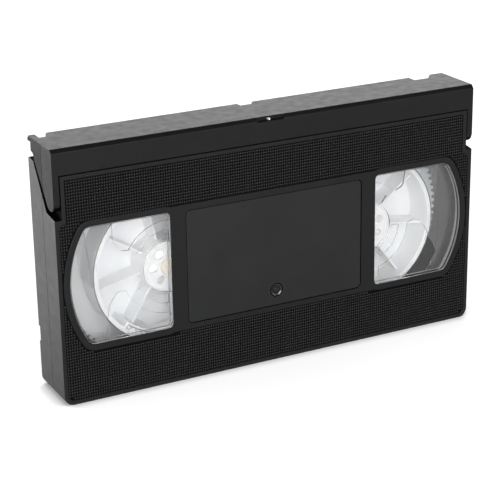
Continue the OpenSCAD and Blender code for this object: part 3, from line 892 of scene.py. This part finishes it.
@dataclass
class Case:
    """Both half shells with the grip field, windows, screws, tab and leaf spring."""

    shop: Workshop
    finishes: Finishes
    half_thickness: float = 12.5
    skin: float = 0.15
    grip_deep: float = 0.25
    grip_slack: float = 0.04
    label: tuple[float, float, float, float] = (-40.0, 23.8, 40.0, 71.4)
    label_deep: float = 0.4
    label_slack: float = 0.1
    bead_inset: float = 0.12
    bead_bend: float = 1.88
    bead_r: float = 0.17
    smooth_x: float = 46.5
    smooth_z: Pair = (21.5, 74.0)
    field_wide: Pair = (92.3, 74.6)
    field_tall: Pair = (89.4, 91.7)
    field_spine: float = 1.7
    field_round: float = 2.4
    reel_at: Pair = (46.0, 48.0)
    frame_r: float = 45.7
    frame_x: float = 44.0
    frame_z: Pair = (21.0, 74.5)
    frame_bend: float = 6.3
    pip_pitch: Pair = (1.03, 1.21)
    pip_foot: Pair = (0.68, 0.94)
    pip_top: Pair = (0.2, 0.54)
    pip_height: float = 0.23
    pip_sunk: float = 0.02
    pip_inset: float = 0.05
    pocket_x: float = 90.7
    pocket_z: float = 66.0
    foot_x: float = 88.5
    foot_z: Pair = (66.0, 76.0)
    foot_y: float = -12.0
    mark_z: float = 30.5
    mark_groove: Pair = (2.52, 2.98)

    def build(self) -> None:
        """Builds every piece of the case."""
        finishes, moulded = self.finishes, self.shop.moulded
        upper = moulded("upper_shell", finishes.case, "black_plastic", 0.2)
        self.paint_upper(upper)
        lower = moulded("lower_shell", finishes.lower_case, "black_plastic", 0.2)
        for shell in (upper, lower):
            self.paint_ends(shell)
        self.grip_pips()
        self.label_edge()
        self.gate_mark()
        for side in Side:
            node = f"window_{side.word}"
            pane = moulded(node, finishes.window, "clear_plastic", 0.15, slack=0.02)
            normal = self.shop.faces(pane)[1]
            # Painted highlight: the pane's cut walls take the milky clear finish.
            self.shop.paint(pane, finishes.clear_edge, np.abs(normal[:, 1]) < ASLANT)
        moulded("case_screws", finishes.screw, "screw_steel", 0.12)
        moulded("erase_tab", finishes.case, "black_plastic", 0.12)
        moulded("reel_leaf_spring", finishes.leaf, "spring_steel", 0.05, 1)
        moulded("leaf_spring_rivets", finishes.screw, "spring_steel", 0.1)

    def paint_upper(self, shell: Piece) -> None:
        """Gives the label recess its own finish and paints the grip field's ground with a darker
        copy of the case black, painted shade between the pips.

        A face that looks outwards belongs to the recess if its middle lies inside the
        label's outline at the recess's depth, and to the ground if it lies at the field's.

        Args:
            shell: The upper shell's piece.
        """
        middle, normal, _ = self.shop.faces(shell)
        x, y, z = middle.T
        outward, depth = normal[:, 1] < -ALONG, y + self.half_thickness
        x0, z0, x1, z1 = self.label
        inside = (x > x0) & (x < x1) & (z > z0) & (z < z1)
        inside &= np.abs(depth - self.label_deep) < self.label_slack
        self.shop.paint(shell, self.finishes.label_floor, inside & outward)
        # Painted shade: the field's ground takes the darker copy.
        ground = np.abs(depth - self.grip_deep) < self.grip_slack
        self.shop.paint(shell, self.finishes.grip_ground, ground & outward & ~inside)

    def paint_ends(self, shell: Piece) -> None:
        """Paints the outer end walls with a stronger-specular copy of the case black, a painted
        sheen, and the pockets round the ears deep black, a painted shade.

        A face belongs to a pocket if it lies farther out than the pocket's inner wall and
        above the pocket's foot, and is neither the outer end wall nor the front or back. So
        does a face at the foot that looks to the front from behind the face of the case.

        Args:
            shell: The piece of a half shell.
        """
        middle, normal, _ = self.shop.faces(shell)
        across, y, z = np.abs(middle[:, 0]), middle[:, 1], middle[:, 2]
        end = self.shop.ends(shell)
        # Painted sheen: the end walls take the brighter copy of the case black.
        self.shop.paint(shell, self.finishes.case_side, end)
        skin = np.abs(y) > self.half_thickness - self.skin
        pocket = (across > self.pocket_x) & (z > self.pocket_z)
        foot = (across > self.foot_x) & (z > self.foot_z[0]) & (z < self.foot_z[1])
        pocket |= foot & (y > self.foot_y) & (normal[:, 1] < -ALONG)
        # Painted shade: the pocket faces take the deep black.
        self.shop.paint(shell, self.finishes.gap, pocket & ~end & ~skin)

    def label_edge(self) -> Piece:
        """Bead round the foot of the label recess's wall, painted deep black: a painted shade
        line in the recess's corner.

        Its path is a rounded rectangle: each corner is a quarter circle about its own
        centre, and the path starts and ends in the middle of the lower side.

        Returns:
            The bead.
        """
        x0, z0, x1, z1 = self.label
        bend, pull = self.bead_bend, self.bead_inset + self.bead_bend
        turn = np.linspace(0.0, np.pi / 2.0, 7)
        centres = (
            (x1 - pull, z0 + pull), (x1 - pull, z1 - pull),
            (x0 + pull, z1 - pull), (x0 + pull, z0 + pull),
        )
        arcs = []
        for (cx, cz), start in zip(centres, np.pi * np.array([-0.5, 0.0, 0.5, 1.0])):
            arc = (cx + bend * np.cos(turn + start), cz + bend * np.sin(turn + start))
            arcs.append(np.stack(arc, axis=-1))
        middle = np.array([[0.5 * (x0 + x1), z0 + self.bead_inset]])
        x, z = np.concatenate([middle, *arcs, middle]).T
        path = np.stack([x, 0.0 * x - self.half_thickness + self.label_deep, z], axis=-1)
        sides = 8
        points = tube(path, np.array([0.0, 1.0, 0.0]), self.bead_r, sides)
        piece = make_mesh("label_edge", points, grid_faces(len(path), sides, True))
        close_up(piece)
        return self.shop.dress(piece, self.finishes.gap, "shell", "black_plastic")

    def gate_mark(self) -> Piece:
        """Round mark of the moulding gate: a groove round a dished centre, the groove painted
        deep black as shade.

        The section is a closed outline turned about the mark's axis: the lip on the label's
        floor, the groove, the ridge, the slope down to the hollow's floor and the underside.

        Returns:
            The mark's ring.
        """
        outline = [
            (3.22, 0.385), (3.0, 0.39), (2.88, 0.64), (2.66, 0.64), (2.52, 0.42),
            (2.44, 0.41), (1.93, 0.69), (1.93, 0.71), (3.22, 0.71), (3.22, 0.385),
        ]
        profile = np.array(outline) - [[0.0, self.half_thickness]]
        centre = (0.0, self.mark_z)
        piece = self.shop.turned("gate_mark", profile, centre, steps=96, smooth=False)
        self.shop.dress(piece, self.finishes.mark, "shell", "black_plastic")
        x, _, z = self.shop.faces(piece)[0].T
        reach = np.hypot(x, z - self.mark_z)
        inner, outer = self.mark_groove
        # Painted shade: the groove's faces are painted deep black.
        self.shop.paint(piece, self.finishes.gap, (reach > inner) & (reach < outer))
        return piece

    def in_grip_field(self, x: np.ndarray, z: np.ndarray, inset: float) -> np.ndarray:
        """Tells which points lie in the sunk grip field, at least inset from its edge.

        The field is a rounded rectangle along the spine joined to a narrower rectangle that
        reaches up to the door, less the smooth middle and the frame round each window. The
        frame is the part inside both a circle about the reel and a rectangle, and its two
        outer corners are rounded: where the direction from a corner's own centre points
        between the circle's and the straight edge's, the frame ends at the corner's radius.

        Args:
            x: X of the points in mm.
            z: Z of the points in mm.
            inset: Distance kept from the edge in mm.

        Returns:
            True for each point inside.
        """
        across, curve = np.abs(x), self.field_round
        wide_x, wide_z = self.field_wide
        wide = (across < wide_x - inset) & (z > self.field_spine + inset) & (z < wide_z - inset)
        out = np.maximum(across - wide_x + curve, 0.0)
        down = np.maximum(self.field_spine + curve - z, 0.0)
        wide &= np.hypot(out, down) < curve - inset
        tall_x, tall_z = self.field_tall
        tall = (across < tall_x - inset) & (z < tall_z - inset)
        tall &= z >= self.field_spine + 2.0 * curve
        low, high = self.smooth_z
        middle = (across < self.smooth_x + inset) & (z > low - inset) & (z < high + inset)
        reel_x, reel_z = self.reel_at
        low, high = self.frame_z
        frame = (across > self.frame_x - inset) & (z > low - inset) & (z < high + inset)
        frame &= np.hypot(across - reel_x, z - reel_z) < self.frame_r + inset
        bend = self.frame_bend
        reach = self.frame_r - bend
        for edge, up in ((low + bend, -1.0), (high - bend, 1.0)):
            rise = abs(edge - reel_z)
            beside = across - reel_x - math.sqrt(reach**2 - rise**2)
            beyond = up * (z - edge)
            lean = np.arctan2(beyond, beside)
            cut = (lean > math.asin(rise / reach)) & (lean < 0.5 * math.pi)
            frame &= ~(cut & (np.hypot(beside, beyond) > bend + inset))
        return (wide | tall) & ~middle & ~frame

    def grip_pips(self) -> Piece:
        """Fine raised dashes that fill the sunk grip field.

        Pip centres stand on a grid of columns and rows. Each pip is a cut pyramid: four foot
        points, four points on its smaller top, joined by four sides and one top face.

        Returns:
            The pips as one piece.
        """
        step_x, step_z = self.pip_pitch
        side_columns, top_row = int(OUTER_X / step_x), int(self.field_tall[1] / step_z)
        columns = np.arange(-side_columns, side_columns + 1) * step_x
        x, z = np.meshgrid(columns, np.arange(top_row + 1) * step_z, indexing="ij")
        signs = np.array([[-1.0, 1.0, 1.0, -1.0], [-1.0, -1.0, 1.0, 1.0]]) / 2.0
        keep = np.ones(x.shape, bool)
        for side_x, side_z in signs.T * self.pip_foot:
            keep &= self.in_grip_field(x + side_x, z + side_z, self.pip_inset)
        x, z = x[keep][:, None], z[keep][:, None]
        ground = self.grip_deep - self.half_thickness
        rings = []
        for (wide, tall), y in (
            (self.pip_foot, ground + self.pip_sunk),
            (self.pip_top, ground - self.pip_height),
        ):
            ring = (x + signs[0] * wide, np.full((len(x), 4), y), z + signs[1] * tall)
            rings.append(np.stack(ring, axis=-1))
        points = np.concatenate(rings, axis=1).reshape(-1, 3)
        pattern = np.array([[4, 5, 6, 7], [0, 1, 5, 4], [1, 2, 6, 5], [2, 3, 7, 6], [3, 0, 4, 7]])
        quads = (np.arange(len(x))[:, None, None] * 8 + pattern).reshape(-1, 4)
        piece = make_mesh("grip_pips", points, quads)
        return self.shop.dress(piece, self.finishes.grip_pip, "shell", "black_plastic")


@dataclass
class Door:
    """Hinged door with its return spring, and the lock lever with its spring."""

    shop: Workshop
    finishes: Finishes
    gate_pin_at: Pair = (-2.4, 102.9)
    gate_pin_r: float = 0.6
    gate_pin_area: float = 1.2
    rim_x: float = 91.6
    rim_y: float = -12.2
    rim_z: float = 100.0
    rim_turned: float = 0.3
    # Y of the two cuts that bound the painted shade line along each ear's step.
    seam: Pair = (-1.98, -1.62)
    door_spring: TorsionSpring = TorsionSpring(
        "door_spring", 0, (-87.9, -85.3), (-8.5, 83.2), 1.4, 7.0, (80.2, 101.2), (8, 160, 24), -1.0
    )
    lock_spring: TorsionSpring = TorsionSpring(
        "door_lock_spring", 1, (3.65, 2.85), (87.0, 84.5), 1.45, 3.0, (81.7, 89.8), (8, 90, 10)
    )

    def build(self) -> None:
        """Builds the door, the lock and both springs."""
        shop, finishes = self.shop, self.finishes
        door = shop.moulded("door", finishes.door, "black_plastic", 0.3, 3)
        # Cuts the ear ends at the step's shade line, without changing the shape.
        shop.score(door, shop.ends(door), self.seam)
        middle, normal, area = shop.faces(door)
        x, y, z = middle.T
        reach = np.hypot(x - self.gate_pin_at[0], z - self.gate_pin_at[1])
        pin = (reach < self.gate_pin_r) & (area < self.gate_pin_area)
        shop.paint(door, finishes.gate_pin, pin)
        end = shop.ends(door)
        front, back = end & (y < self.seam[0]), end & (y > self.seam[1])
        # Painted shade: the ear ends take the darker copies, and the strip between the cuts takes
        # deep black as the step's shade line.
        shop.paint(door, finishes.ear, front)
        shop.paint(door, finishes.ear_back, back)
        shop.paint(door, finishes.gap, end & ~front & ~back)
        # Painted shade: the inner rim faces beside the ears take deep black.
        rim = (np.abs(x) > self.rim_x) & (y > self.rim_y) & (z < self.rim_z)
        shop.paint(door, finishes.gap, rim & (np.abs(normal[:, 0]) < self.rim_turned))
        shop.moulded("door_lock", finishes.lock, "black_plastic", 0.12)
        shop.wire(self.door_spring)
        shop.wire(self.lock_spring)


@dataclass
class Reel:
    """One reel: toothed body, clear flange, button, clamp and the leader's turns."""

    shop: Workshop
    finishes: Finishes
    side: Side
    name: str
    axis_at: Pair = (46.0, 48.0)
    rim_r: float = 43.0
    slot_r: float = 19.9
    leader_r: Pair = (31.46, 31.9)
    tape_half: float = 6.3
    button_r: float = 3.2
    stem_r: float = 1.2
    button_y: Pair = (-8.3, -6.8)
    stem_end_y: float = -5.4
    crown: float = 0.3
    bevel: float = 0.2
    lip: float = 0.15
    shoulder: Pair = (0.05, 0.07)

    def build(self) -> None:
        """Builds the reel's pieces."""
        shop, finishes = self.shop, self.finishes
        shop.moulded(f"{self.name}_reel", finishes.reel, "white_plastic", 0.14)
        node = f"{self.name}_clear_flange"
        flange = shop.moulded(node, finishes.clear_flange, "clear_plastic", 0.1, slack=0.02)
        middle, normal, _ = shop.faces(flange)
        x, z = self.centre
        reach = np.hypot(middle[:, 0] - x, middle[:, 2] - z)
        wall = (np.abs(normal[:, 1]) < ASLANT) & (reach > self.slot_r)
        rim = reach > self.rim_r
        # Painted shade on the opening walls and a painted highlight on the outer rim's wall.
        shop.paint(flange, finishes.flange_cut, wall & ~rim)
        shop.paint(flange, finishes.clear_edge, wall & rim)
        self.button()
        shop.moulded(f"{self.name}_clamp", finishes.clamp, "white_plastic", 0.12)
        self.leader()

    @property
    def centre(self) -> Pair:
        """X and Z of the reel's axis in mm."""
        return self.side.value * self.axis_at[0], self.axis_at[1]

    def leader(self) -> Piece:
        """Turns of clear leader round the drum.

        The section is a closed outline: the inner face, one edge, the outer face and the
        other edge. Along each edge every turn stands out by its own small step.

        Returns:
            The leader's turns.
        """
        uneven = np.array([0.0, 0.06, 0.02, 0.08, 0.03, 0.07, 0.0])
        near = np.stack([np.linspace(*self.leader_r, len(uneven)), uneven - self.tape_half], -1)
        profile = np.concatenate([near, near[::-1] * [1.0, -1.0], near[:1]])
        node = f"{self.name}_leader"
        name = f"{node}_wound"
        piece = self.shop.turned(name, profile, self.centre, steps=180, smooth=False)
        return self.shop.stand_in(piece, self.finishes.film, "leader_film", node)

    def button(self) -> Piece:
        """Wear button in the middle of the hub, crowned where the leaf spring rubs.

        The profile runs from the stem's end out to the rim and over the crown; the crown is
        an arc of a large circle, y falling with the square of the radius.

        Returns:
            The button.
        """
        (top, seat), end, stem = self.button_y, self.stem_end_y, self.stem_r
        rim, edge = self.button_r, self.button_r - self.lip
        outline = [
            (0.0, end), (stem - self.bevel, end), (stem, end - self.bevel), (stem, seat),
            (edge, seat), (rim, seat - self.lip), (rim, top + self.crown + self.bevel),
            (rim - self.shoulder[0], top + self.crown + self.shoulder[1]),
        ]
        radius = np.linspace(edge, 0.0, 10)
        crown = np.stack([radius, top + self.crown * (radius / edge) ** 2], axis=-1)
        node = f"{self.name}_button"
        profile = np.concatenate([outline, crown])
        piece = self.shop.turned(f"{node}_crowned", profile, self.centre, steps=64)
        return self.shop.stand_in(piece, self.finishes.button, "cream_plastic", node)


@dataclass
class Brakes:
    """Both brake levers, their springs and the release lever over the hole."""

    shop: Workshop
    finishes: Finishes
    pivot: Pair = (6.0, 25.0)
    coil_y: Pair = (6.25, 4.35)
    coil_r: float = 1.75
    leg_ends: Pair = (17.2, 19.2)

    def build(self) -> None:
        """Builds the levers and springs."""
        for side in Side:
            self.lever(f"brake_lever_{side.word}")
            self.shop.wire(self.spring(side))
        self.lever("brake_release")

    def lever(self, node: str) -> Piece:
        """Moulded lever.

        Args:
            node: The CAD node.

        Returns:
            The lever.
        """
        return self.shop.moulded(node, self.finishes.brake, "white_plastic", 0.12)

    def spring(self, side: Side) -> TorsionSpring:
        """Torsion spring on top of a brake lever, wound round its post, with both legs
        towards the spine.

        Args:
            side: The side that the lever is on.

        Returns:
            The spring's sizes.
        """
        return TorsionSpring(
            f"brake_spring_{side.word}",
            1,
            self.coil_y,
            (side.value * self.pivot[0], self.pivot[1]),
            self.coil_r,
            -7.0,
            self.leg_ends,
            (14, 180, 12),
            side.value,
        )


@dataclass
class TapePath:
    """Rollers, pins, posts, the leader between the reels and the felt that presses on it."""

    shop: Workshop
    finishes: Finishes
    roller_at: Pair = (80.0, 96.0)
    post_at: Pair = (66.5, 97.8)
    roller_half: float = 6.625
    pin_r: float = 1.0
    pin_bend: float = 0.35
    pin_y: Pair = (-9.8, 11.5)
    post_r: float = 1.4
    post_bend: float = 0.6
    post_y: Pair = (-8.6, 11.5)

    def build(self) -> None:
        """Builds every piece of the tape path."""
        finishes = self.finishes
        for side in Side:
            self.turned("guide_roller", side, self.roller(), self.roller_at)
            self.turned("guide_pin", side, self.pin(), self.roller_at)
            self.turned("tape_post", side, self.post(), self.post_at)
        self.shop.moulded("tape_span", finishes.film, "leader_film", 0.04, 1)
        self.shop.moulded("pressure_spring", finishes.leaf, "spring_steel", 0.05, 1)
        self.pad()

    def turned(self, kind: str, side: Side, profile: np.ndarray, place: Pair) -> Piece:
        """Lathed guide that stands for a node: the rollers are plastic, the others steel.

        Args:
            kind: The node's name less its side.
            side: The side that it is on.
            profile: Radius and y in mm from one end to the other.
            place: X and Z of the right one's axis in mm.

        Returns:
            The piece.
        """
        node, centre = f"{kind}_{side.word}", (side.value * place[0], place[1])
        piece = self.shop.turned(f"{node}_turned", profile, centre, steps=48)
        piece.modifiers.new("crisp", "WEIGHTED_NORMAL").keep_sharp = True
        if kind == "guide_roller":
            return self.shop.stand_in(piece, self.finishes.roller, "white_plastic", node)
        return self.shop.stand_in(piece, self.finishes.pin, "spring_steel", node)

    def roller(self) -> np.ndarray:
        """Profile of a guide roller: a tube with turned-in ends and a shallow waist.

        Returns:
            Rows of (radius, y) in mm.
        """
        half = np.array(
            [(1.05, 0.0), (2.6, 0.0), (2.9, 0.1), (3.0, 0.3), (3.0, 0.9), (2.93, 1.3)]
        ) - [0.0, self.roller_half]
        return np.concatenate([half, half[::-1] * [1.0, -1.0], half[:1]])

    def pin(self) -> np.ndarray:
        """Profile of a guide roller's steel pin, with rounded ends.

        Returns:
            Rows of (radius, y) in mm.
        """
        end = rounded_end(self.pin_r, self.pin_bend, 5)
        low, high = self.pin_y
        return np.concatenate([end + [0.0, low], end[::-1] * [1.0, -1.0] + [0.0, high]])

    def post(self) -> np.ndarray:
        """Profile of a polished post that the tape slides over, with a rounded top.

        Returns:
            Rows of (radius, y) in mm.
        """
        low, high = self.post_y
        top = rounded_end(self.post_r, self.post_bend, 6) + [0.0, low]
        return np.concatenate([top, [[self.post_r, high], [0.0, high]]])

    def pad(self) -> Piece:
        """Felt pad on the thin spring: a crowned block with rounded corners.

        The pad is a closed grid of rings from its foot to its top. Each ring is a rounded
        rectangle, |x/a|^6 + |y/b|^6 = 1, that shrinks with the cube of the way to each end.

        Returns:
            The pad.
        """
        low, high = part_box("pressure_pad")
        low, high = np.array(low) / MM, np.array(high) / MM
        middle, half = (low + high) / 2.0, (high - low) / 2.0
        points_round, power, waist = 64, 2.0 / 6.0, 0.12
        around = np.linspace(0.0, 2.0 * np.pi, points_round + 1)[:-1]
        level = np.linspace(-1.0, 1.0, 13)
        shrink = 1.0 - waist * np.clip(np.abs(level) * 2.0 - 1.0, 0.0, 1.0) ** 3
        shrink[[0, -1]] = 0.0
        ring_x, ring_y = (
            np.sign(wave) * np.abs(wave) ** power for wave in (np.cos(around), np.sin(around))
        )
        points = np.stack(
            [
                middle[0] + half[0] * shrink[:, None] * ring_x,
                middle[1] + half[1] * shrink[:, None] * ring_y,
                middle[2] + half[2] * level[:, None] + 0.0 * ring_x,
            ],
            axis=-1,
        ).reshape(-1, 3)
        piece = make_mesh("felt_pad", points, grid_faces(len(level), points_round, True))
        close_up(piece)
        self.shop.dress(piece, self.finishes.felt, "shell", "felt", "pressure_pad")
        return piece


@dataclass(frozen=True)
class Softbox:
    """Soft lamp with a flat face that points at the cassette."""

    name: str
    place: Triple
    size: Pair
    radiance: float
    aim: Triple = (0.0, 0.0, 50.0)

    def build(self) -> Piece:
        """Makes the lamp; its power is radiance times pi times its area.

        Returns:
            The lamp.
        """
        data = bpy.data.lights.new(f"softbox_{self.name}", "AREA")
        data.shape = "RECTANGLE"
        data.size, data.size_y = (side * MM for side in self.size)
        data.energy = self.radiance * math.pi * data.size * data.size_y
        lamp = bpy.data.objects.new(data.name, data)
        spot = Vector(self.place) * MM
        turn = (Vector(self.aim) * MM - spot).to_track_quat("-Z", "Y").to_matrix().to_4x4()
        lamp.matrix_world = Matrix.Translation(spot) @ turn
        bpy.context.scene.collection.objects.link(lamp)
        return lamp


@dataclass
class Studio:
    """Camera at the photograph's angle, pale floor, soft lamps and white surroundings."""

    azimuth: float = -27.3271
    elevation: float = 20.3061
    roll: float = -0.8682
    distance: float = 674.0985
    target: Triple = (-5.6669, 0.0, 44.9326)
    lens_px: float = 1647.4392
    frame_px: float = 500.0
    sensor: float = 36.0
    clip: Pair = (0.02, 50.0)
    fill: float = 0.42
    floor_reach: float = 4000.0
    floor_lines: int = 9
    floor_grey: float = 0.88
    floor_swing: float = 0.01
    floor_mirrored: float = 0.6
    floor_glow: float = 0.5
    contact_reach: float = 9.0
    contact_open: Pair = (0.42, 0.8)
    gloss_behind: float = 0.66
    gloss_rise: Pair = (-0.05, 0.11)
    gloss_front: float = 0.2
    gloss_above: float = 0.15
    lamps: tuple[Softbox, ...] = (
        Softbox("front", (-330.0, -1400.0, 480.0), (950.0, 800.0), 5.6),
        Softbox("front_left", (-1200.0, -800.0, 450.0), (900.0, 900.0), 2.2),
        Softbox("front_right", (1200.0, -900.0, 500.0), (900.0, 900.0), 1.2),
        Softbox("left", (-560.0, 1000.0, 170.0), (1000.0, 320.0), 8.0),
        Softbox("back", (560.0, 1080.0, 500.0), (900.0, 900.0), 1.0),
    )

    def build(self) -> None:
        """Builds the camera, floor, lamps and world."""
        self.camera()
        self.floor()
        for box in self.lamps:
            box.build()
        self.world()
        bpy.context.scene.view_settings.view_transform = "Standard"

    def camera(self) -> None:
        """Places the camera: back is the way from the target to it, right is square to that
        and to Z, and both side vectors are turned by the roll."""
        a, e, r = (math.radians(v) for v in (self.azimuth, self.elevation, self.roll))
        back = Vector((math.sin(a) * math.cos(e), -math.cos(a) * math.cos(e), math.sin(e)))
        right = (-back).cross(Vector((0.0, 0.0, 1.0))).normalized()
        up = right.cross(-back)
        across = math.cos(r) * right + math.sin(r) * up
        upward = -math.sin(r) * right + math.cos(r) * up
        data = bpy.data.cameras.new("photo_camera")
        data.sensor_width = self.sensor
        data.lens = self.lens_px * self.sensor / self.frame_px
        data.clip_start, data.clip_end = self.clip
        camera = bpy.data.objects.new("photo_camera", data)
        place = (Vector(self.target) + back * self.distance) * MM
        turn = Matrix((across, upward, back)).transposed()
        camera.matrix_world = Matrix.Translation(place) @ turn.to_4x4()
        bpy.context.scene.collection.objects.link(camera)
        bpy.context.scene.camera = camera

    def floor(self) -> None:
        """White floor that keeps the cassette's shadow.

        It is a wide square of a grid of points, all at z = 0. Beside its lit grey it glows:
        evenly for what the camera sees, but ambient occlusion dims that glow in a narrow rim
        round whatever stands on it, a painted contact shadow; and for gloss only behind the
        cassette, rising evenly with the distance there.
        Gloss sees the lit grey dimmed.
        """
        count = self.floor_lines
        line = np.linspace(-self.floor_reach, self.floor_reach, count)
        x, y = np.meshgrid(line, line, indexing="ij")
        points = np.stack([x, y, 0.0 * x], axis=-1).reshape(-1, 3)
        floor = make_mesh("studio_floor", points, grid_faces(count, count, False)[:, ::-1])
        graph = Graph("floor_white")
        paper = graph.noise(per_metre=300.0, detail=3.0)
        path = graph.node("LightPath")
        mirrored = path.outputs["Is Glossy Ray"]
        dimmed = graph.node("VectorMath", operation="SCALE")
        grey, swing = (self.floor_grey,) * 3, self.floor_swing / self.floor_grey
        graph.feed(dimmed.inputs[0], graph.mottled(paper, grey, 1.0 - swing, 1.0 + swing))
        graph.feed(dimmed.inputs["Scale"], graph.spread(mirrored, 1.0, self.floor_mirrored))
        # Painted contact shadow: ambient occlusion dims the camera's glow near whatever stands on
        # the floor.
        contact = graph.node("AmbientOcclusion", samples=16)
        graph.feed(contact.inputs["Distance"], self.contact_reach * MM)
        clear = graph.spread(contact.outputs["AO"], 0.0, self.floor_glow, *self.contact_open)
        even = graph.maths("MULTIPLY", graph.either(path, "Camera", "Transmission"), clear)
        split = graph.node("SeparateXYZ")
        graph.feed(split.inputs["Vector"], graph.coords)
        rising = graph.spread(split.outputs["Y"], 0.0, self.gloss_behind, *self.gloss_rise)
        graph.plain(
            Roughness=0.9,
            Specular_IOR_Level=0.1,
            Base_Color=dimmed.outputs["Vector"],
            Emission_Color=(1.0, 1.0, 1.0, 1.0),
            Emission_Strength=graph.maths("MULTIPLY_ADD", mirrored, rising, even),
        )
        floor.data.materials.append(graph.material)

    def world(self) -> None:
        """White surroundings for the camera and for what is seen through plastic.

        Gloss sees them white behind the cassette and grey in front and overhead, as in a
        studio whose white sweep stands behind the table; the rest gets a weaker fill.
        """
        world = bpy.data.worlds.new("studio_white")
        world.use_nodes = True
        tree = Tree(world.node_tree)
        split = tree.node("SeparateXYZ")
        tree.feed(split.inputs["Vector"], tree.node("TexCoord").outputs["Generated"])
        behind = tree.spread(split.outputs["Y"], self.gloss_front, 1.0, start=-0.4, end=0.6)
        overhead = tree.spread(split.outputs["Z"], 1.0, self.gloss_above, start=0.4, end=0.8)
        path = tree.node("LightPath")
        strength: object = self.fill
        for share, value in (
            (path.outputs["Is Glossy Ray"], tree.maths("MULTIPLY", behind, overhead)),
            (tree.either(path, "Camera", "Transmission"), 1.0),
        ):
            mix = tree.node("Mix", data_type="FLOAT")
            for place, part in ((0, share), (2, strength), (3, value)):
                tree.feed(mix.inputs[place], part)
            strength = mix.outputs[0]
        back = tree.tree.nodes["Background"]
        tree.feed(back.inputs["Color"], (1.0, 1.0, 1.0, 1.0))
        tree.feed(back.inputs["Strength"], strength)
        bpy.context.scene.world = world


def main() -> None:
    """Builds the cassette's looks in order."""
    logging.basicConfig(level=logging.INFO, format="%(name)s: %(message)s")
    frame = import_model()
    finishes = Finishes()
    shop = Workshop(frame, finishes)
    Case(shop, finishes).build()
    Door(shop, finishes).build()
    Reel(shop, finishes, Side.LEFT, "supply").build()
    Reel(shop, finishes, Side.RIGHT, "takeup").build()
    Brakes(shop, finishes).build()
    TapePath(shop, finishes).build()
    Studio().build()
    bpy.context.view_layer.update()


if __name__ == "__main__":
    main()
